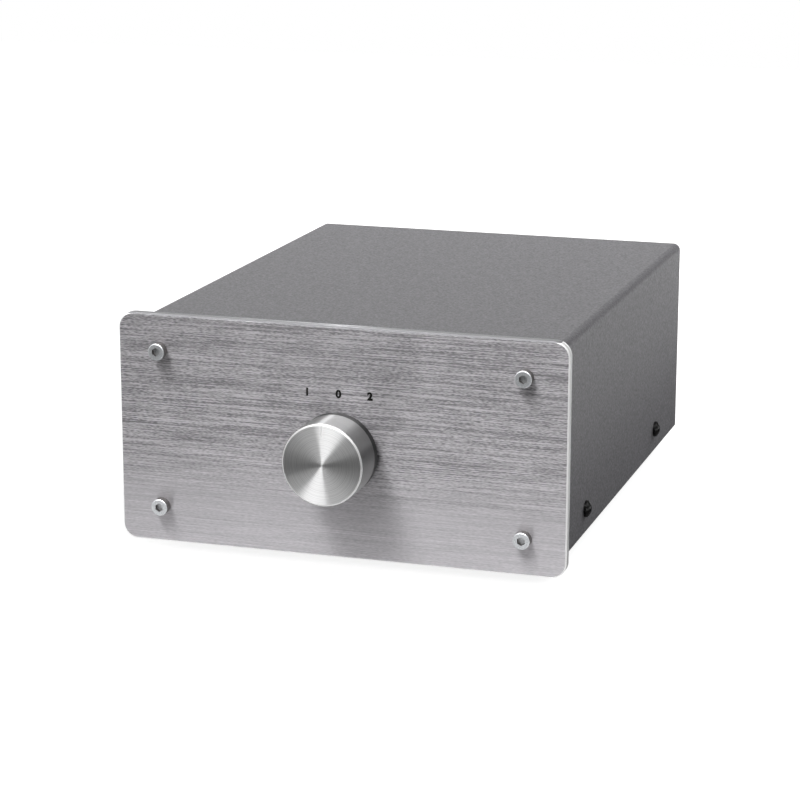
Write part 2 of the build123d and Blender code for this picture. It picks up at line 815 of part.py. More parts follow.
# ---------------------------------------------------------------- binding posts
all_posts = list(post_places.values())
with BuildPart() as post_studs:
    with BuildSketch(front_view(post_flange_y)):
        with Locations(*all_posts):
            Circle(post_tail_radius)
    extrude(amount=collar_thickness + sheet + inner_insulator_thickness + post_tail_length)
    with BuildSketch(front_view(post_flange_y)):
        with Locations(*all_posts):
            Circle(post_flange_radius)
    extrude(amount=-post_flange_thickness)
    with BuildSketch(front_view(cap_seat_y)):
        with Locations(*all_posts):
            Circle(post_stem_radius)
    extrude(amount=-post_stem_length)
    with BuildSketch(front_view(post_flange_y + plug_bore_floor)):
        with Locations(*all_posts):
            Circle(plug_bore_radius)
    extrude(amount=post_flange_y + plug_bore_floor - post_end_y, mode=Mode.SUBTRACT)
    with BuildSketch(Plane.XY):
        with Locations(*[(x, wire_hole_y) for x in post_column_xs]):
            Circle(wire_hole_radius)
    extrude(amount=case_top_z, mode=Mode.SUBTRACT)
post_studs.part.label = "post_studs"
export_step(post_studs.part, "parts/post_studs.step")

for colour in polarity_xs:
    colour_places = [place for (_, _, tint), place in post_places.items() if tint == colour]
    with BuildPart() as collars:
        with BuildSketch(front_view(case_rear_y)):
            with Locations(*colour_places):
                Circle(collar_radius)
        extrude(amount=-collar_thickness)
        chamfer(collars.faces().group_by(Axis.Y)[-1].edges(), collar_chamfer)
        with BuildSketch(front_view(case_rear_y)):
            with Locations(*colour_places):
                Circle(collar_boss_radius)
        extrude(amount=sheet + collar_boss_extra)
        with BuildSketch(front_view(post_flange_y)):
            with Locations(*colour_places):
                Circle(post_tail_radius + post_tail_clearance)
        extrude(amount=collar_thickness + sheet + collar_boss_extra, mode=Mode.SUBTRACT)
    collars.part.label = f"post_collars_{colour}"
    export_step(collars.part, f"parts/post_collars_{colour}.step")

with BuildPart() as inner_insulators:
    with BuildSketch(front_view(rear_wall_inside_y)):
        with Locations(*all_posts):
            Circle(inner_insulator_radius)
            Circle(post_tail_radius + post_tail_clearance, mode=Mode.SUBTRACT)
    extrude(amount=inner_insulator_thickness)
    with BuildSketch(front_view(rear_wall_inside_y)):
        with Locations(*all_posts):
            Circle(collar_boss_radius + collar_hole_clearance)
    extrude(amount=collar_boss_extra + collar_hole_clearance, mode=Mode.SUBTRACT)
inner_insulators.part.label = "inner_insulators"
export_step(inner_insulators.part, "parts/inner_insulators.step")

post_nuts = nuts_along_y(
    post_nut_width, post_tail_radius + thread_gap, post_nut_y, post_nut_thickness, all_posts
)
post_nuts.part.label = "post_nuts"
export_step(post_nuts.part, "parts/post_nuts.step")

lock_nuts = nuts_along_y(
    post_nut_width, post_tail_radius + thread_gap, lock_nut_y, lock_nut_thickness, all_posts
)
lock_nuts.part.label = "lock_nuts"
export_step(lock_nuts.part, "parts/lock_nuts.step")

with BuildPart() as solder_lugs:
    for post_x, post_z in all_posts:
        with BuildSketch(front_view(lug_y)):
            with Locations((post_x, post_z)):
                Circle(lug_radius)
            with Locations((post_x, post_z - lug_tab_drop / 2)):
                Rectangle(lug_tab_width, lug_tab_drop)
            with Locations((post_x, post_z)):
                Circle(post_tail_radius + post_tail_clearance, mode=Mode.SUBTRACT)
        extrude(amount=-lug_thickness)
        with BuildSketch(Plane.XY.offset(post_z - lug_tab_drop)):
            with Locations((post_x, lug_y + lug_thickness - lug_tab_length / 2 - lug_thickness / 2)):
                Rectangle(lug_tab_width, lug_tab_length + lug_thickness)
        extrude(amount=-lug_thickness)
solder_lugs.part.label = "solder_lugs"
export_step(solder_lugs.part, "parts/solder_lugs.step")

# Screw cap: a grip with flutes between a plain base, which clamps the wire, and a stepped nose.
with BuildPart() as cap_form:
    with BuildSketch(front_view(cap_seat_y)):
        Circle(cap_base_radius)
    extrude(amount=-cap_base_length)
    grip_length = cap_length - cap_base_length - cap_nose_length - cap_end_length
    with BuildSketch(front_view(cap_seat_y + cap_base_length)):
        Circle(cap_radius)
        with PolarLocations(cap_radius - cap_flute_depth + cap_flute_radius, cap_flute_count):
            Circle(cap_flute_radius, mode=Mode.SUBTRACT)
    extrude(amount=-grip_length)
    nose_start_y = cap_seat_y + cap_base_length + grip_length
    with BuildSketch(front_view(nose_start_y)):
        Circle(cap_radius - cap_flute_depth)
    with BuildSketch(front_view(nose_start_y + cap_nose_length)):
        Circle(cap_nose_radius)
    loft()
    with BuildSketch(front_view(nose_start_y + cap_nose_length)):
        Circle(cap_end_radius)
    extrude(amount=-cap_end_length)
    with BuildSketch(front_view(cap_seat_y)):
        Circle(post_stem_radius + cap_fit)
    extrude(amount=-cap_length, mode=Mode.SUBTRACT)

for (group, channel, colour), (post_x, post_z) in post_places.items():
    with BuildPart() as post_cap:
        with Locations((post_x, 0, post_z)):
            add(cap_form.part)
    post_cap.part.label = f"post_cap_{group}_{channel}_{colour}"
    export_step(post_cap.part, f"parts/post_cap_{group}_{channel}_{colour}.step")

# ---------------------------------------------------------------- internal leads
# Red leads go to the front wafer and black ones to the rear wafer.
lead_contacts = {
    "input_1": throw_angles[0],
    "input_2": throw_angles[-1],
    "common": common_contact_angle,
}
lead_wafers = {"red": "front", "black": "rear"}
# How far along its sideways way a lead is at each of its stations, and how much of its lift it has.
lead_stations = [0.0, 0.11, 0.26, 0.42, 0.58, 0.74, 0.89, 1.0]
lead_shares = [0.0, 0.0, 0.14, 0.38, 0.64, 0.87, 1.0, 1.0]
lead_lift_shares = [0.0, 0.0, 0.55, 1.0, 1.0, 0.5, 0.0, 0.0]
# How many steps each lead bows up on its way, so that no two of them meet where they cross.
lead_lifts = {
    ("input_1", "right", "red"): 3,
    ("input_1", "right", "black"): 3,
    ("input_2", "right", "red"): -2,
    ("input_2", "right", "black"): -2,
    ("common", "right", "red"): 4,
    ("common", "right", "black"): 4,
    ("input_1", "left", "red"): 6,
    ("input_1", "left", "black"): 8,
    ("input_2", "left", "red"): -8,
    ("input_2", "left", "black"): -4,
    ("common", "left", "red"): 14,
    ("common", "left", "black"): -6,
}


def lead_route(group, channel, colour):
    """The corners of one lead's way from its solder lug to the tab of its contact."""
    post_x, post_z = post_places[group, channel, colour]
    wafer_place = lead_wafers[colour]
    angle = radians(lead_contacts[group] + pole_turns[channel] + wafer_turns[wafer_place])
    start = Vector(post_x, lug_tab_end_y, post_z - lug_tab_drop - lug_thickness / 2)
    end = Vector(
        lead_tab_radius * cos(angle),
        wafer_front_ys[wafer_place] + wafer_thickness + contact_thickness,
        axis_z + lead_tab_radius * sin(angle),
    )
    corners = []
    for station, share, lift_share in zip(lead_stations, lead_shares, lead_lift_shares):
        lift = lead_lift_step * lead_lifts[group, channel, colour] * lift_share
        x = start.X + (end.X - start.X) * share
        y = start.Y + (end.Y - start.Y) * station
        z = start.Z + (end.Z - start.Z) * share + lift
        corners.append(Vector(x, y, z))
    return corners


def largest_arcs(corners):
    """For each inner corner, the largest arc that its two runs leave room for."""
    radii = []
    for before, corner, after in zip(corners, corners[1:], corners[2:]):
        run = min((corner - before).length, (after - corner).length)
        turn = (corner - before).get_angle(after - corner)
        radii.append(arc_share * run / tan(radians(turn) / 2))
    return radii


for group in group_xs:
    for colour in polarity_xs:
        with BuildPart() as leads:
            for channel in channel_zs:
                corners = lead_route(group, channel, colour)
                radii = largest_arcs(corners)
                print(f"lead {group} {channel} {colour}: smallest bend radius {min(radii):.1f} mm")
                with BuildLine() as route:
                    FilletPolyline(*corners, radius=radii)
                path = route.wires()[0]
                with BuildSketch(Plane(origin=path @ 0, z_dir=path % 0)):
                    Circle(lead_radius)
                sweep(path=path)
        leads.part.label = f"leads_{group}_{colour}"
        export_step(leads.part, f"parts/leads_{group}_{colour}.step")
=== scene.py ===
# %% [markdown]
# # A loudspeaker selector box, dressed for the camera
#
# The box is already built as solid parts: a folded steel case, a thick aluminium front plate, one
# turned knob and twelve binding posts on the rear wall. This lesson gives each of those parts its
# finish, adds the small things that were never solid parts, and lights the result like a product.
#
# The parts arrive at their real size, in metres, each one in its real place. They are never moved.

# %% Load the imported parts
import math

import bpy
from mathutils import Euler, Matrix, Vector


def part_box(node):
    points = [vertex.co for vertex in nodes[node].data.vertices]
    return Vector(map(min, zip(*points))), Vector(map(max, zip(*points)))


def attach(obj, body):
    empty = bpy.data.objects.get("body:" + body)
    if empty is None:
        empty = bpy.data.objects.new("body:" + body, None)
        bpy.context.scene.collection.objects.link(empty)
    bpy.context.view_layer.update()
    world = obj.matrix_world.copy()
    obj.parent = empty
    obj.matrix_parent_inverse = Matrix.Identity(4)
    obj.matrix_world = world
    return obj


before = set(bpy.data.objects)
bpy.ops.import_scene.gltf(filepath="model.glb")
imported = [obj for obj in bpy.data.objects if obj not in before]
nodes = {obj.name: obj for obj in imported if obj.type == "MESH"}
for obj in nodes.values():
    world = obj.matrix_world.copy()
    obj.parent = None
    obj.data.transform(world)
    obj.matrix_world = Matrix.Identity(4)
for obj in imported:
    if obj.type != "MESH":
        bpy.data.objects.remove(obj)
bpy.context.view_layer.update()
mm = 0.001

# %% [markdown]
# ## Where things are
#
# Everything that is added later needs a few places of the box. They are read from the boxes round
# the parts, so that nothing has to be measured twice: the face of the plate, and the face, the axis
# and the radius of the knob.

# %% Read the main places
plate_low, plate_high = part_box("front_plate")
knob_low, knob_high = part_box("knob")
plate_face_y = plate_low.y
knob_face_y = knob_low.y
knob_axis = (knob_low + knob_high) / 2
knob_radius = (knob_high.x - knob_low.x) / 2
print("plate face at y =", round(plate_face_y / mm, 2), "mm")
print("knob axis at z =", round(knob_axis.z / mm, 2), "mm")

# %% [markdown]
# ## The camera
#
# The box is seen from its front right corner, a little from above, through a long lens from close
# to nine hundred millimetres away. A long lens keeps the sides of the box nearly parallel, as in
# a catalogue picture. The camera is placed by its distances from the box, then turned by three
# angles: round the vertical, down towards the box, and a trace of roll.

# %% Place the camera
camera_place = Vector((254.74, -839.85, 252.32)) * mm
camera_turn = math.radians(17.49)
camera_tilt = math.radians(14.08)
camera_roll = math.radians(0.08)
lens_length = 115.175
film_width = 36.0

camera_data = bpy.data.cameras.new("camera")
camera_data.lens = lens_length
camera_data.sensor_width = film_width
camera = bpy.data.objects.new("camera", camera_data)
bpy.context.scene.collection.objects.link(camera)
camera.location = camera_place
level_view = Euler((math.radians(90) - camera_tilt, 0, camera_turn), "XYZ").to_matrix()
camera.rotation_euler = (level_view @ Euler((0, 0, camera_roll), "XYZ").to_matrix()).to_euler()
bpy.context.scene.camera = camera
print("camera", round((camera_place - knob_axis).length, 3), "m from the knob")

# %% [markdown]
# ## Working by hand, in code
#
# A modelling operator acts on everything that is selected, so each new piece starts from an empty
# selection. When a piece is finished, its place is written into its mesh and the object itself
# goes back to the origin: then a pattern that reads object coordinates stays where it is put.

# %% Two helpers for new pieces
def select_only(*chosen):
    """Select these objects alone. The first one is active."""
    bpy.ops.object.select_all(action="DESELECT")
    for piece in chosen:
        piece.select_set(True)
    if chosen:
        bpy.context.view_layer.objects.active = chosen[0]


def settle(piece, body):
    """Write the piece's place into its mesh and let it move with a body of the box."""
    select_only(piece)
    bpy.ops.object.transform_apply(location=True, rotation=True, scale=True)
    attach(piece, body)
    print(piece.name, "rides on", body, "with", len(piece.data.polygons), "faces")


# %% [markdown]
# ## Materials: a small toolbox
#
# Every finish below is made from a few nodes on object coordinates, which are metres here. A
# stretched noise gives brush lines, a round one gives grain. These helpers keep the node wiring
# short enough to read.

# %% Helpers that add nodes
def add_node(material, kind, **inputs):
    """Add one node and set its unlinked inputs by name."""
    node = material.node_tree.nodes.new(kind)
    for key, value in inputs.items():
        node.inputs[key.replace("_", " ")].default_value = value
    return node


def wire(material, start, end):
    """Link an output socket to an input socket."""
    material.node_tree.links.new(start, end)


def reckon(material, operation, first, second=0.0):
    """One step of arithmetic. Each of the two values is a socket or a plain number."""
    node = add_node(material, "ShaderNodeMath")
    node.operation = operation
    for socket, value in zip(node.inputs, (first, second)):
        if isinstance(value, (int, float)):
            socket.default_value = value
        else:
            wire(material, value, socket)
    return node.outputs[0]


print("node helpers ready")

# %% Helpers for patterns and ranges
def stretched_coordinates(material, scale, centre=(0, 0, 0)):
    """Object coordinates measured from a centre, then scaled."""
    place = add_node(material, "ShaderNodeTexCoord")
    mapping = add_node(material, "ShaderNodeMapping", Scale=scale)
    mapping.inputs["Location"].default_value = [-c * s for c, s in zip(centre, scale)]
    wire(material, place.outputs["Object"], mapping.inputs["Vector"])
    return mapping.outputs["Vector"]


def noise(material, vector, scale, detail):
    """A noise pattern on given coordinates."""
    pattern = add_node(material, "ShaderNodeTexNoise", Scale=scale, Detail=detail)
    wire(material, vector, pattern.inputs["Vector"])
    return pattern.outputs["Fac"]


def remap(material, value, low, high, new_low, new_high):
    """Stretch a value from one range to another."""
    node = add_node(
        material, "ShaderNodeMapRange",
        From_Min=low, From_Max=high, To_Min=new_low, To_Max=new_high,
    )
    wire(material, value, node.inputs["Value"])
    return node.outputs["Result"]


def by_share(material, share, at_zero, at_one):
    """A number that goes from one value to the other as the share goes from zero to one."""
    return remap(material, share, 0, 1, at_zero, at_one)


print("pattern helpers ready")

# %% Helpers for colours and surfaces
# The mix node has sockets for each kind of data. These are the ones for colours.
mix_dark_socket = 6
mix_light_socket = 7
mix_result_socket = 2
quarter_turn = 0.25


def blend_colours(material, factor, dark, light):
    """A colour between dark and light."""
    node = add_node(material, "ShaderNodeMix")
    node.data_type = "RGBA"
    node.inputs[mix_dark_socket].default_value = (*dark, 1)
    node.inputs[mix_light_socket].default_value = (*light, 1)
    wire(material, factor, node.inputs[0])
    return node.outputs[mix_result_socket]


def shader_of(material):
    """The Principled shader of a material."""
    return material.node_tree.nodes["Principled BSDF"]


def new_material(name, metallic, roughness, colour):
    """A material with a Principled shader, whose plain values are set on its own sockets."""
    material = bpy.data.materials.new(name)
    material.use_nodes = True
    shader = shader_of(material)
    shader.inputs["Metallic"].default_value = metallic
    shader.inputs["Roughness"].default_value = roughness
    shader.inputs["Base Color"].default_value = (*colour, 1)
    return material, shader


def bump(material, height, depth):
    """Raise the surface by height times depth."""
    node = add_node(material, "ShaderNodeBump", Strength=1.0, Distance=depth)
    wire(material, height, node.inputs["Height"])
    wire(material, node.outputs["Normal"], shader_of(material).inputs["Normal"])


def brush_lines(shader, spread):
    """Spread the reflection across the brush lines, which follow the tangent."""
    shader.inputs["Anisotropic"].default_value = spread
    shader.inputs["Anisotropic Rotation"].default_value = quarter_turn


def set_gloss(material, level):
    """Weaken the clear reflection of a paint or an ink."""
    shader_of(material).inputs["Specular IOR Level"].default_value = level


print("surface helpers ready")

# %% A helper for a plain finish
# A noise has its middle at one half and mostly stays between the other two values.
noise_low = 0.3
noise_middle = 0.5
noise_high = 0.7
mottle_detail = 3.0
mottle_dullest = 1.15
mottle_shiniest = 0.9


def simple_finish(name, metallic, roughness, dark, light, grain, depth):
    """A finish with a fine mottle in colour, gloss and surface. The grain is its size in metres."""
    material, shader = new_material(name, metallic, roughness, light)
    plain_place = stretched_coordinates(material, (1, 1, 1))
    mottle = noise(material, plain_place, 1 / grain, mottle_detail)
    tone = remap(material, mottle, noise_low, noise_high, 0, 1)
    wire(material, blend_colours(material, tone, dark, light), shader.inputs["Base Color"])
    dullest = roughness * mottle_dullest
    shiniest = roughness * mottle_shiniest
    rough = remap(material, mottle, noise_low, noise_high, dullest, shiniest)
    wire(material, rough, shader.inputs["Roughness"])
    bump(material, mottle, depth)
    return material


print("finish helper ready")

# %% [markdown]
# ## Masks
#
# Some places of a part look different from the rest: a cut edge, a groove, a socket. Such a place
# is told apart by its coordinates. Each comparison gives one inside the place and zero outside it,
# and two of these masks are joined by multiplying them or by taking the larger one. The masks could
# be painted by hand instead, but these follow the sizes of the parts.

# %% Helpers that tell places apart
def place_on(material, centre=(0, 0, 0)):
    """The three coordinates of a place, measured from a centre."""
    split = add_node(material, "ShaderNodeSeparateXYZ")
    wire(material, stretched_coordinates(material, (1, 1, 1), centre), split.inputs[0])
    return split.outputs


def from_axis(material, first, second):
    """How far a place is from an axis, by its two offsets across that axis."""
    squares = [reckon(material, "MULTIPLY", offset, offset) for offset in (first, second)]
    return reckon(material, "SQRT", reckon(material, "ADD", *squares))


def over(material, value, limit):
    """A mask that is one where the value is over the limit."""
    return reckon(material, "GREATER_THAN", value, limit)


def under(material, value, limit):
    """A mask that is one where the value is under the limit."""
    return reckon(material, "LESS_THAN", value, limit)


def both(material, first, second):
    """A mask that is one where both of these are."""
    return reckon(material, "MULTIPLY", first, second)


def either(material, first, second):
    """A mask that is one where at least one of these is."""
    return reckon(material, "MAXIMUM", first, second)


def outside(material, mask):
    """A mask that is one where this one is zero."""
    return reckon(material, "SUBTRACT", 1.0, mask)


def colour_where(material, mask, colour):
    """Lay another colour over the finish where the mask is one."""
    base = shader_of(material).inputs["Base Color"]
    before = base.links[0].from_socket
    laid_over = blend_colours(material, mask, colour, colour)
    wire(material, before, laid_over.node.inputs[mix_dark_socket])
    wire(material, laid_over, base)


print("mask helpers ready")

# %% [markdown]
# ## The floor and the room
#
# The box stands on a plain white floor in a white room. To the camera and to shiny surfaces both
# are white. To everything else the room is a soft grey glow, because a room that lit the box at
# full white would wash every colour out. The floor keeps part of its real shading for the camera,
# so that the shadow of the box stays on it.

# %% Helpers for what is seen directly
def seen_directly(tree):
    """One for rays from the camera, from shiny surfaces and through glass, and zero for others."""
    ray = tree.nodes.new("ShaderNodeLightPath")
    seen = ray.outputs["Is Camera Ray"]
    for name in ("Is Glossy Ray", "Is Transmission Ray"):
        joined = tree.nodes.new("ShaderNodeMath")
        joined.operation = "MAXIMUM"
        tree.links.new(seen, joined.inputs[0])
        tree.links.new(ray.outputs[name], joined.inputs[1])
        seen = joined.outputs[0]
    return seen


def show_directly(tree, lit, seen, out):
    """Show one shader to whoever looks straight at it. The lit one lights everything else."""
    mix = tree.nodes.new("ShaderNodeMixShader")
    tree.links.new(seen_directly(tree), mix.inputs["Fac"])
    tree.links.new(lit.outputs[0], mix.inputs[1])
    tree.links.new(seen.outputs[0], mix.inputs[2])
    tree.links.new(mix.outputs[0], out.inputs["Surface"])


def empty_tree(owner):
    """Give a material or a world an empty node tree."""
    owner.use_nodes = True
    owner.node_tree.nodes.clear()
    return owner.node_tree


def grey(value):
    """A grey colour with its alpha."""
    return (value, value, value, 1)


print("helpers for the stage ready")

# %% Make the floor
floor_albedo = 0.35
floor_shadow_share = 0.35
floor_lift = 0.86
floor_width = 2.6
floor_drop = 0.1 * mm

select_only()
bpy.ops.mesh.primitive_plane_add(size=floor_width, location=(0, 0, -floor_drop))
floor = bpy.context.object
floor.name = "floor"

floor_paint = bpy.data.materials.new("floor_white")
floor_tree = empty_tree(floor_paint)
floor_out = floor_tree.nodes.new("ShaderNodeOutputMaterial")
floor_lit = floor_tree.nodes.new("ShaderNodeBsdfDiffuse")
floor_lit.inputs["Color"].default_value = grey(floor_albedo)
floor_shaded = floor_tree.nodes.new("ShaderNodeBsdfDiffuse")
floor_shaded.inputs["Color"].default_value = grey(floor_shadow_share)
floor_white = floor_tree.nodes.new("ShaderNodeEmission")
floor_white.inputs["Strength"].default_value = floor_lift
floor_seen = floor_tree.nodes.new("ShaderNodeAddShader")
floor_tree.links.new(floor_shaded.outputs[0], floor_seen.inputs[0])
floor_tree.links.new(floor_white.outputs[0], floor_seen.inputs[1])
show_directly(floor_tree, floor_lit, floor_seen, floor_out)
floor.data.materials.append(floor_paint)
print("floor ready")

# %% Make the room
room_white_strength = 1.0
room_glow_strength = 0.34

room = bpy.data.worlds.new("white_room")
bpy.context.scene.world = room
room_tree = empty_tree(room)
room_out = room_tree.nodes.new("ShaderNodeOutputWorld")
room_seen = room_tree.nodes.new("ShaderNodeBackground")
room_glow = room_tree.nodes.new("ShaderNodeBackground")
for room_light, strength in ((room_seen, room_white_strength), (room_glow, room_glow_strength)):
    room_light.inputs["Color"].default_value = grey(1.0)
    room_light.inputs["Strength"].default_value = strength
show_directly(room_tree, room_glow, room_seen, room_out)
print("room ready")

# %% [markdown]
# ## The lamps
#
# Metal shows the lamps themselves, and paint shows how much light they give, so one lamp can rarely
# serve both. Three of the softboxes therefore light by their reflections alone: the large one over
# the front draws the bright wedges on the turned face of the knob, a narrow one over the plate and
# one on the left draw the bright lines on the knob's side. The other two light only what is matt:
# one stands on the left, so that the left side isn't lost in the dark, and one behind on the right,
# where its reflection would run along the bend of the cover as a white line.

# %% Hang the softboxes
def softbox(name, place, width, depth, power, lights):
    """A rectangular lamp that shines at the knob, seen in metal only or on paint only."""
    lamp_data = bpy.data.lights.new(name, "AREA")
    lamp_data.shape = "RECTANGLE"
    lamp_data.size = width
    lamp_data.size_y = depth
    lamp_data.energy = power
    lamp = bpy.data.objects.new(name, lamp_data)
    bpy.context.scene.collection.objects.link(lamp)
    lamp.location = place
    lamp.rotation_euler = (knob_axis - Vector(place)).to_track_quat("-Z", "Y").to_euler()
    lamp.visible_camera = False
    lamp.visible_diffuse = lights != "metal"
    lamp.visible_glossy = lights != "paint"
    print(name, "gives", power, "W")


above_place = (-0.02, -0.5, 0.9)
above_width = 0.95
above_depth = 0.5
above_power = 12.0
over_place = (-0.34, -0.07, 0.9)
over_width = 0.45
over_depth = 0.1
over_power = 2.0
left_place = (-0.9, -0.5, 0.65)
left_width = 0.6
left_power = 1.5
fill_place = (-1.2, 0.1, 0.35)
fill_width = 0.8
fill_power = 9.0
behind_place = (0.3, 1.0, 0.5)
behind_width = 0.6
behind_power = 20.0

softbox("softbox_above", above_place, above_width, above_depth, above_power, "metal")
softbox("softbox_over", over_place, over_width, over_depth, over_power, "metal")
softbox("softbox_left", left_place, left_width, left_width, left_power, "metal")
softbox("softbox_fill", fill_place, fill_width, fill_width, fill_power, "paint")
softbox("softbox_behind", behind_place, behind_width, behind_width, behind_power, "paint")

# %% [markdown]
# ## Dark cards
#
# Brushed metal in an all-white room looks like white paper. Dark cards give it something to show
# between its highlights: one lies in front and bends up at its far end like a cove, one stands on
# the right, and a narrow strip lies along the foot of the right side. A fourth stands far behind,
# and the bend of the cover shows it as a soft dark line. Only shiny surfaces see the cards: they
# cast no shadow, and the camera looks through them.

# %% A helper for a dark card
card_brightness = 0.14
card_lift = 2 * mm

card_paint = bpy.data.materials.new("dark_card")
card_tree = empty_tree(card_paint)
card_out = card_tree.nodes.new("ShaderNodeOutputMaterial")
card_glow = card_tree.nodes.new("ShaderNodeEmission")
card_glow.inputs["Strength"].default_value = card_brightness
card_tree.links.new(card_glow.outputs[0], card_out.inputs["Surface"])


def dark_card(name, low_x, high_x, low_y, high_y):
    """A card on the floor between these limits, which only shiny surfaces see."""
    select_only()
    middle = ((low_x + high_x) / 2, (low_y + high_y) / 2, card_lift)
    bpy.ops.mesh.primitive_plane_add(size=1.0, location=middle)
    card = bpy.context.object
    card.name = name
    card.scale = (high_x - low_x, high_y - low_y, 1)
    bpy.ops.object.transform_apply(location=True, rotation=True, scale=True)
    card.data.materials.append(card_paint)
    card.visible_camera = False
    card.visible_diffuse = False
    card.visible_shadow = False
    card.visible_transmission = False
    return card


print("card helper ready")

# %% Lay the cards
front_left_x = -1.5
front_right_x = 0.6
front_near_y = -0.158
front_far_y = -1.3
front_height = 0.6
wall_x = 0.7
wall_foot = 0.01
wall_near_y = 0.4
wall_height = 0.2
strip_left_x = 0.065
strip_right_x = 0.13
strip_front_y = -0.09
strip_back_y = 0.45
back_left_x = 0.0
back_right_x = 1.2
back_y = 0.91
back_height = 0.6

front_card = dark_card("dark_card_front", front_left_x, front_right_x, front_far_y, front_near_y)
wall_card = dark_card("dark_card_wall", wall_x - wall_foot, wall_x, front_far_y, wall_near_y)
dark_card("dark_card_strip", strip_left_x, strip_right_x, strip_front_y, strip_back_y)
back_card = dark_card("dark_card_back", back_left_x, back_right_x, back_y - wall_foot, back_y)
print("four cards on the floor")

# %% Bend three of the cards up into walls
def bend_up(card, is_far, height):
    """Extrude the edge whose two ends are both far, straight up."""
    select_only(card)
    for item in (*card.data.vertices, *card.data.polygons):
        item.select = False
    for edge in card.data.edges:
        edge.select = all(is_far(card.data.vertices[end].co) for end in edge.vertices)
    bpy.ops.object.mode_set(mode="EDIT")
    bpy.ops.mesh.select_mode(type="EDGE")
    bpy.ops.mesh.extrude_region_move(TRANSFORM_OT_translate={"value": (0, 0, height)})
    bpy.ops.object.mode_set(mode="OBJECT")
    print(card.name, "has", len(card.data.polygons), "faces")


bend_up(front_card, lambda place: place.y < front_far_y + mm, front_height)
bend_up(wall_card, lambda place: place.x > wall_x - mm, wall_height)
bend_up(back_card, lambda place: place.y > back_y - mm, back_height)

# %% [markdown]
# ## Front plate: brushed aluminium
#
# The plate is sanded in long horizontal strokes before it is anodised. Four noises stretched along
# X stand for what the belt leaves: soft bands, single strokes, short hair lines, and a few bright
# scratches, which follow the line where a noise crosses its middle. Their sum moves the colour, the
# gloss and the surface, and the reflection is spread across the strokes. The strokes are fainter
# near the lower edge, and a painted light makes the plate lighter there. The front edge is cut
# bright, the top edge gets a painted shade where it faces the lamp, and the back is left dull.

# %% Mix the brushed aluminium
def strokes(material, length, width, detail=0.0):
    """Noise drawn out along X into strokes of about this length and width."""
    drawn_out = stretched_coordinates(material, (1 / length, 1 / width, 1 / width))
    return noise(material, drawn_out, 1.0, detail)


plate_roughness = 0.4
plate_spread = 0.95
plate_dark = (0.2, 0.194, 0.204)
plate_light = (0.655, 0.637, 0.664)
soft_detail = 1.0
band_length = 80 * mm
band_width = 1.2 * mm
band_share = 0.3
stroke_length = 26 * mm
stroke_width = 0.19 * mm
hair_length = 1.2 * mm
hair_width = 0.2 * mm
hair_share = 1.0
scratch_length = 30 * mm
scratch_width = 0.55 * mm
scratch_edge = 0.03
scratch_height = 0.45

brushed, brushed_shader = new_material("brushed_aluminium", 1.0, plate_roughness, plate_light)
brush_lines(brushed_shader, plate_spread)
band_noise = strokes(brushed, band_length, band_width, soft_detail)
bands = reckon(brushed, "MULTIPLY", band_noise, band_share)
single_strokes = strokes(brushed, stroke_length, stroke_width)
hair_noise = strokes(brushed, hair_length, hair_width)
hair_lines = reckon(brushed, "MULTIPLY", hair_noise, hair_share)
scratch_noise = strokes(brushed, scratch_length, scratch_width, soft_detail)
from_middle = reckon(brushed, "SUBTRACT", scratch_noise, noise_middle)
off_scratch = reckon(brushed, "ABSOLUTE", from_middle)
scratches = remap(brushed, off_scratch, 0, scratch_edge, scratch_height, 0)
long_marks = reckon(brushed, "ADD", bands, single_strokes)
stroke_sum = reckon(brushed, "ADD", long_marks, reckon(brushed, "ADD", hair_lines, scratches))
print("four kinds of strokes")

# %% Press harder towards the top
# The even sum is what the strokes add up to on average. Pressure scales how far they are from it.
smooth_below = 20 * mm
rough_above = 45 * mm
low_share = 0.2
# How much a painted light lifts the tone of the lower plate.
low_painted_light_gain = 0.05
even_scratch_share = 0.21
stroke_swing_range = 0.25

plate_place = place_on(brushed)
pressure = remap(brushed, plate_place["Z"], smooth_below, rough_above, low_share, 1.0)
even_sum = noise_middle * (1 + hair_share + band_share) + scratch_height * even_scratch_share
from_even = reckon(brushed, "SUBTRACT", stroke_sum, even_sum)
stroke_swing = reckon(brushed, "MULTIPLY", from_even, pressure)
# A painted light lifts the tone of the plate near its lower edge, where the strokes are faint.
low_painted_light = remap(brushed, pressure, low_share, 1.0, low_painted_light_gain, 0.0)
strokes_and_painted_light = reckon(brushed, "ADD", stroke_swing, low_painted_light)
strokes_and_painted_light_tone = remap(brushed, strokes_and_painted_light, -stroke_swing_range, stroke_swing_range, 0, 1)
print("strokes pressed")

# %% Tell the edges of the plate apart
plate_chamfer = 0.45 * mm
edge_margin = 0.02 * mm

behind_face = reckon(brushed, "SUBTRACT", plate_place["Y"], plate_face_y)
past_face = over(brushed, behind_face, edge_margin)
near_top = over(brushed, plate_place["Z"], plate_high.z - plate_chamfer + edge_margin)
on_top = both(brushed, past_face, near_top)
on_back = over(brushed, behind_face, plate_high.y - plate_low.y - edge_margin)
before_wall = under(brushed, behind_face, plate_chamfer - edge_margin)
off_top_and_back = outside(brushed, either(brushed, near_top, on_back))
on_cut_edge = both(brushed, past_face, either(brushed, before_wall, off_top_and_back))
print("edges told apart")

# %% Leave the cut edge bright
edge_bright = (0.95, 0.95, 0.95)
# Painted shade for the top edge, which faces the lamp above.
top_painted_shade = (0.3, 0.3, 0.31)
back_dull = (0.55, 0.545, 0.555)
edge_roughness = 0.9
dark_stroke_gain = 0.06
light_stroke_loss = 0.05
stroke_depth = 0.03 * mm

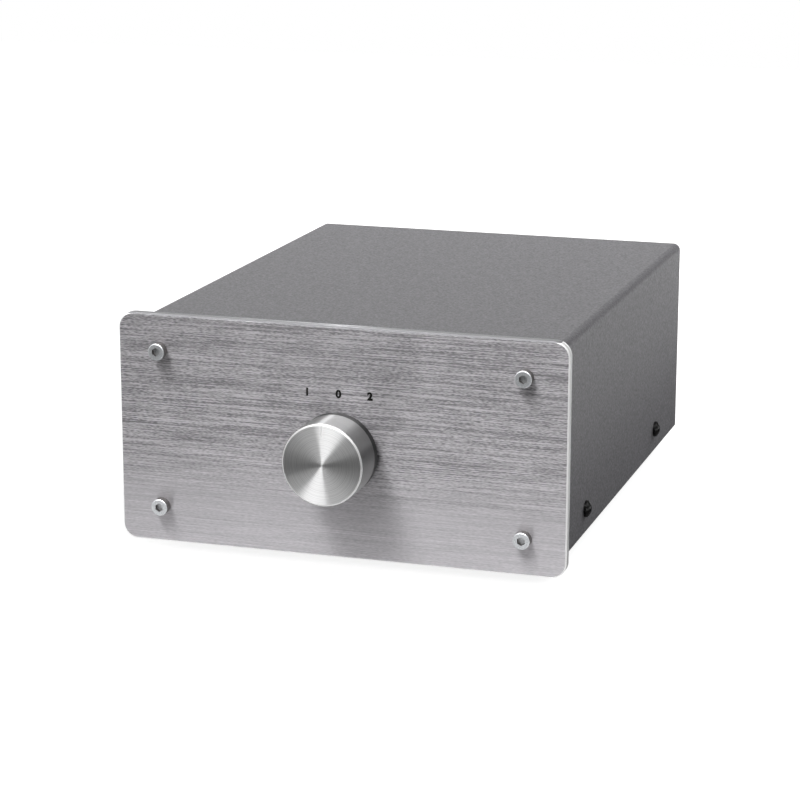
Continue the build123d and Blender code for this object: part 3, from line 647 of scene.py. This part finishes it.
face_colour = blend_colours(brushed, strokes_and_painted_light_tone, plate_dark, plate_light)
wire(brushed, face_colour, brushed_shader.inputs["Base Color"])
colour_where(brushed, on_cut_edge, edge_bright)
# A painted shade darkens the top edge where it faces the lamp.
colour_where(brushed, on_top, top_painted_shade)
colour_where(brushed, on_back, back_dull)
dull_stroke = plate_roughness + dark_stroke_gain
shiny_stroke = plate_roughness - light_stroke_loss
face_rough = by_share(brushed, strokes_and_painted_light_tone, dull_stroke, shiny_stroke)
cut_rough = reckon(brushed, "MULTIPLY", on_cut_edge, edge_roughness)
plate_rough = reckon(brushed, "MAXIMUM", face_rough, cut_rough)
wire(brushed, plate_rough, brushed_shader.inputs["Roughness"])
bump(brushed, stroke_swing, stroke_depth)
print("brushed aluminium ready")

# %% [markdown]
# ## Knob: turned aluminium
#
# A lathe leaves rings on the face of the knob and round its side, so the light spreads along the
# radius on the face and makes the bright wedges. The rings are a noise in one direction only: the
# distance from the axis plus the depth, which changes across the face and along the side. The
# chamfer round the face is cut last with a diamond tool and stays bright. The index groove is cut
# bright too, and its full brightness is also a painted highlight against the shade in the recess.
# The side gets a painted shade that makes it darker than the face, and the heel of the side, next
# to the plate, a darker painted shade still.

# %% Mix the turned aluminium
turned_roughness = 0.55
turned_spread = 1.0
turned_dark = 0.75
turned_bright = 0.95

turned, turned_shader = new_material(
    "turned_aluminium", 1.0, turned_roughness, (turned_bright, turned_bright, turned_bright),
)
brush_lines(turned_shader, turned_spread)
turned_tangent = add_node(turned, "ShaderNodeTangent")
turned_tangent.direction_type = "RADIAL"
turned_tangent.axis = "Y"
wire(turned, turned_tangent.outputs["Tangent"], turned_shader.inputs["Tangent"])
across, along, up = place_on(turned, knob_axis)
radius = from_axis(turned, across, up)
depth = reckon(turned, "SUBTRACT", along, knob_face_y - knob_axis.y)
print("places on the knob ready")

# %% Tell the chamfer, the side, the groove and the heel apart
chamfer_width = 0.6 * mm
chamfer_shine = 0.5 * mm
heel_width = 3.2 * mm

near_rim = over(turned, radius, knob_radius - chamfer_width - edge_margin)
near_face = under(turned, depth, chamfer_shine)
on_chamfer = both(turned, near_rim, near_face)
on_side = reckon(turned, "SUBTRACT", near_rim, on_chamfer)
below_face = over(turned, depth, edge_margin)
in_groove = both(turned, below_face, outside(turned, near_rim))
# The chamfer is cut bright; in the index groove the same brightness is also a painted highlight.
cut_bright_and_painted_highlight = either(turned, on_chamfer, in_groove)
# The heel, next to the plate, is where the darker painted shade goes.
on_heel = over(turned, depth, knob_high.y - knob_low.y - heel_width)
print("parts of the knob told apart")

# %% Turn the rings
turned_side_roughness = 0.35
# Painted shade: the side is darker than the face, and the heel next to the plate darker still.
turned_side_painted_shade = 0.38
heel_painted_shade = 0.22
ring_width = 0.25 * mm
ring_depth = 0.004 * mm
ring_detail = 2.0

rings = add_node(turned, "ShaderNodeTexNoise", Detail=ring_detail)
rings.noise_dimensions = "1D"
rings.inputs["Scale"].default_value = 1 / ring_width
wire(turned, reckon(turned, "ADD", radius, depth), rings.inputs["W"])
ring_tone = remap(turned, rings.outputs["Fac"], noise_low, noise_high, 0, 1)
ring_shade = by_share(turned, ring_tone, turned_dark, turned_bright)
# Painted shade on the side and, darker, on the heel next to the plate.
side_painted_shade = by_share(turned, on_side, 1.0, turned_side_painted_shade)
heel_painted_shade_tone = by_share(turned, on_heel, 1.0, heel_painted_shade)
side_and_heel_painted_shade = reckon(turned, "MULTIPLY", side_painted_shade, heel_painted_shade_tone)
rings_and_painted_shade = reckon(turned, "MULTIPLY", ring_shade, side_and_heel_painted_shade)
# The cut places stay bright, the groove partly as a painted highlight against its shade.
brightness = reckon(turned, "MAXIMUM", rings_and_painted_shade, cut_bright_and_painted_highlight)
turned_colour = add_node(turned, "ShaderNodeCombineColor")
for channel in turned_colour.inputs:
    wire(turned, brightness, channel)
wire(turned, turned_colour.outputs[0], turned_shader.inputs["Base Color"])
side_rough = by_share(turned, on_side, turned_roughness, turned_side_roughness)
turned_rough = reckon(turned, "MAXIMUM", side_rough, cut_bright_and_painted_highlight)
wire(turned, turned_rough, turned_shader.inputs["Roughness"])
bump(turned, rings.outputs["Fac"], ring_depth)
print("turned aluminium ready")

# %% [markdown]
# ## Case: grey paint
#
# The steel of the case has a fine grey coat. Close up it is grainy, like a very soft orange peel.

# %% Mix the grey paint
coat_roughness = 0.5
coat_gloss = 0.4
coat_dark = (0.088, 0.086, 0.092)
coat_light = (0.165, 0.162, 0.172)
coat_grain = 0.7 * mm
coat_depth = 0.03 * mm

grey_coat = simple_finish(
    "grey_coat", 0.0, coat_roughness, coat_dark, coat_light, coat_grain, coat_depth,
)
set_gloss(grey_coat, coat_gloss)
print("grey coat ready")

# %% [markdown]
# ## Small metal and plastic parts
#
# The rest of the parts share a handful of finishes. Each one has its own grain, because a surface
# with no grain at all looks like a drawing. They differ only in their numbers, so they stand in a
# table: one row for each finish, under the name that its parts have for it.

# %% Mix the small finishes
# The material's name, how metallic and rough it is, its dark and light colour, and then the size of
# its grain and the depth of its bump in millimetres.
small_finishes = {
    "black_screws": (
        "black_oxide", 1.0, 0.25, (0.02, 0.02, 0.02), (0.06, 0.06, 0.06), 0.3, 0.003,
    ),
    "zinc_steel": (
        "zinc_plating", 1.0, 0.5, (0.55, 0.565, 0.58), (0.78, 0.795, 0.81), 0.4, 0.006,
    ),
    "foot_rubber": (
        "foot_rubber", 0.0, 0.7, (0.012, 0.012, 0.012), (0.02, 0.02, 0.02), 0.4, 0.02,
    ),
    "wafer_board": (
        "phenolic_board", 0.0, 0.5, (0.2, 0.09, 0.03), (0.3, 0.14, 0.05), 1.0, 0.01,
    ),
    "rotor_plastic": (
        "rotor_plastic", 0.0, 0.4, (0.6, 0.58, 0.5), (0.7, 0.68, 0.6), 1.0, 0.005,
    ),
    "contact_brass": (
        "silvered_brass", 1.0, 0.3, (0.6, 0.5, 0.3), (0.75, 0.65, 0.42), 0.5, 0.005,
    ),
    "gold_plate": (
        "gold_plate", 1.0, 0.22, (0.75, 0.5, 0.18), (0.85, 0.6, 0.24), 0.5, 0.004,
    ),
    "post_red": (
        "red_plastic", 0.0, 0.3, (0.45, 0.01, 0.01), (0.55, 0.015, 0.012), 1.0, 0.005,
    ),
    "post_black": (
        "black_plastic", 0.0, 0.3, (0.012, 0.012, 0.013), (0.02, 0.02, 0.021), 1.0, 0.005,
    ),
    "lead_red": (
        "red_insulation", 0.0, 0.45, (0.5, 0.02, 0.02), (0.6, 0.03, 0.03), 1.0, 0.01,
    ),
    "lead_black": (
        "black_insulation", 0.0, 0.45, (0.02, 0.02, 0.02), (0.03, 0.03, 0.03), 1.0, 0.01,
    ),
}

finishes = {"plate_aluminium": brushed, "knob_aluminium": turned, "grey_paint": grey_coat}
for finish_name, (*look, grain_mm, depth_mm) in small_finishes.items():
    finishes[finish_name] = simple_finish(*look, grain_mm * mm, depth_mm * mm)
print(len(finishes), "finishes mixed")

# %% [markdown]
# Two of these finishes get a detail of their own. The heads of the plate's screws are knurled round
# their side, and the knurl and the walls of the hexagon socket get a painted shade, darker than the
# bright top. Both are told apart by how far a place is from the nearest screw's axis. The studs of
# the binding posts have a thread, which shows once their caps are turned back: a sine along the
# stud raises and lowers it.

# %% Find the places on the heads of the plate's screws
head_radius = 2.75 * mm

screws_low, screws_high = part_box("plate_screws")
screws_middle = (screws_low + screws_high) / 2
farthest = screws_high - screws_middle
zinc = finishes["zinc_steel"]
zinc_place = place_on(zinc, screws_middle)
screw_offsets = []
for axis_name, head_edge in (("X", farthest.x), ("Z", farthest.z)):
    off_middle = reckon(zinc, "ABSOLUTE", zinc_place[axis_name])
    screw_offsets.append(reckon(zinc, "SUBTRACT", off_middle, head_edge - head_radius))
from_screw = from_axis(zinc, *screw_offsets)
head_depth = reckon(zinc, "SUBTRACT", zinc_place["Y"], screws_low.y - screws_middle.y)
print("places on the screw heads ready")

# %% Paint shade on the knurls and the sockets
head_chamfer = 0.25 * mm
# The knurled side and the socket walls get painted shade.
knurl_painted_shade = (0.22, 0.21, 0.205)
socket_radius = 1.47 * mm
socket_lip = 0.12 * mm
socket_depth = 1.5 * mm
socket_painted_shade = (0.2, 0.19, 0.185)

in_hexagon = under(zinc, from_screw, socket_radius)
below_lip = over(zinc, head_depth, socket_lip)
above_bottom = under(zinc, head_depth, socket_depth - edge_margin)
on_wall = both(zinc, below_lip, above_bottom)
# Painted shade on the walls of the hexagon socket.
colour_where(zinc, both(zinc, in_hexagon, on_wall), socket_painted_shade)
at_rim = over(zinc, from_screw, head_radius - edge_margin)
below_chamfer = over(zinc, head_depth, head_chamfer + edge_margin)
before_plate = under(zinc, head_depth, plate_face_y - screws_low.y)
on_knurl = both(zinc, below_chamfer, before_plate)
# Painted shade on the knurled side of each head.
colour_where(zinc, both(zinc, at_rim, on_knurl), knurl_painted_shade)
print("screw heads darkened")

# %% Cut the threads of the studs
thread_pitch = 0.7 * mm
thread_depth = 0.12 * mm

gold = finishes["gold_plate"]
turns = reckon(gold, "MULTIPLY", place_on(gold)["Y"], 2 * math.pi / thread_pitch)
thread = remap(gold, reckon(gold, "SINE", turns), -1, 1, 0, 1)
bump(gold, thread, thread_depth)
print("threads cut")

# %% Put each finish on its parts
for part in nodes.values():
    for slot in part.material_slots:
        slot.material = finishes[slot.material.name]
print(len(finishes), "finishes on", len(nodes), "parts")

# %% [markdown]
# ## The printed numbers and signs
#
# Three numbers are printed on the plate above the knob. The rear wall has the same numbers over
# the posts of each input, and a plus or a minus sign between the posts of each column. Printed ink
# is a film, so each figure is a flat letter shape turned into a mesh and given a thickness of a few
# hundredths of a millimetre.

# %% Make a figure of ink
ink_thickness = 0.02 * mm
font_cap_share = 0.7
faces_front = 0
faces_rear = 180


def print_figure(name, text, height, boldness, place, turn, ink):
    """Print a figure of this height, upright at place, turned by degrees about the vertical."""
    select_only()
    upright = (math.radians(90), 0, math.radians(turn))
    bpy.ops.object.text_add(location=(0, 0, 0), rotation=upright)
    figure = bpy.context.object
    figure.name = name
    figure.data.body = text
    figure.data.size = (height - 2 * boldness) / font_cap_share
    figure.data.align_x = "CENTER"
    figure.data.align_y = "CENTER"
    figure.data.offset = boldness
    figure.data.extrude = ink_thickness / 2
    bpy.ops.object.convert(target="MESH")
    figure.location = place
    figure.data.materials.append(ink)
    settle(figure, "case")


def middle_of(*corners):
    """The mean place of these corners."""
    return sum(corners, Vector()) / len(corners)


print("figure helpers ready")

# %% Mix the inks
ink_roughness = 0.6
ink_gloss = 0.1
ink_grain = 0.4 * mm
ink_depth = 0.002 * mm
black_ink_dark = (0.006, 0.006, 0.005)
black_ink_light = (0.01, 0.01, 0.008)
white_ink_dark = (0.66, 0.66, 0.64)
white_ink_light = (0.78, 0.78, 0.76)

black_ink = simple_finish(
    "black_ink", 0.0, ink_roughness, black_ink_dark, black_ink_light, ink_grain, ink_depth,
)
white_ink = simple_finish(
    "white_ink", 0.0, ink_roughness, white_ink_dark, white_ink_light, ink_grain, ink_depth,
)
for ink in (black_ink, white_ink):
    set_gloss(ink, ink_gloss)
print("inks ready")

# %% Print the switch positions on the plate
number_height = 2.8 * mm
number_boldness = 0.19 * mm
number_z = 57.0 * mm
number_spacing = 10.5 * mm

plate_ink_y = plate_face_y - ink_thickness / 2
for step, number in zip((-1, 0, 1), "102"):
    print_figure(
        f"position_number_{number}", number, number_height, number_boldness,
        (step * number_spacing, plate_ink_y, number_z), faces_front, black_ink,
    )

# %% Print the numbers and signs on the rear wall
group_number_height = 4.0 * mm
group_number_z = 68.5 * mm
sign_height = 4.0 * mm
sign_boldness = 0.12 * mm

rear_ink_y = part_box("base_chassis")[1].y + ink_thickness / 2
for group, number in (("input_1", "1"), ("input_2", "2")):
    red_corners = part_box(f"post_cap_{group}_right_red")
    black_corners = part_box(f"post_cap_{group}_right_black")
    group_x = middle_of(*red_corners, *black_corners).x
    print_figure(
        f"group_number_{number}", number, group_number_height, number_boldness,
        (group_x, rear_ink_y, group_number_z), faces_rear, white_ink,
    )
for group in ("input_1", "input_2", "common"):
    for colour, sign_name, sign in (("red", "plus", "+"), ("black", "minus", "−")):
        upper_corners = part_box(f"post_cap_{group}_right_{colour}")
        lower_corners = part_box(f"post_cap_{group}_left_{colour}")
        sign_place = middle_of(*upper_corners, *lower_corners)
        sign_place.y = rear_ink_y
        print_figure(
            f"{sign_name}_sign_{group}", sign, sign_height, sign_boldness,
            sign_place, faces_rear, white_ink,
        )

# %% [markdown]
# ## Finish
#
# The last cell chooses Blender's Standard view transform.

# %% Finish
bpy.context.scene.view_settings.view_transform = "Standard"
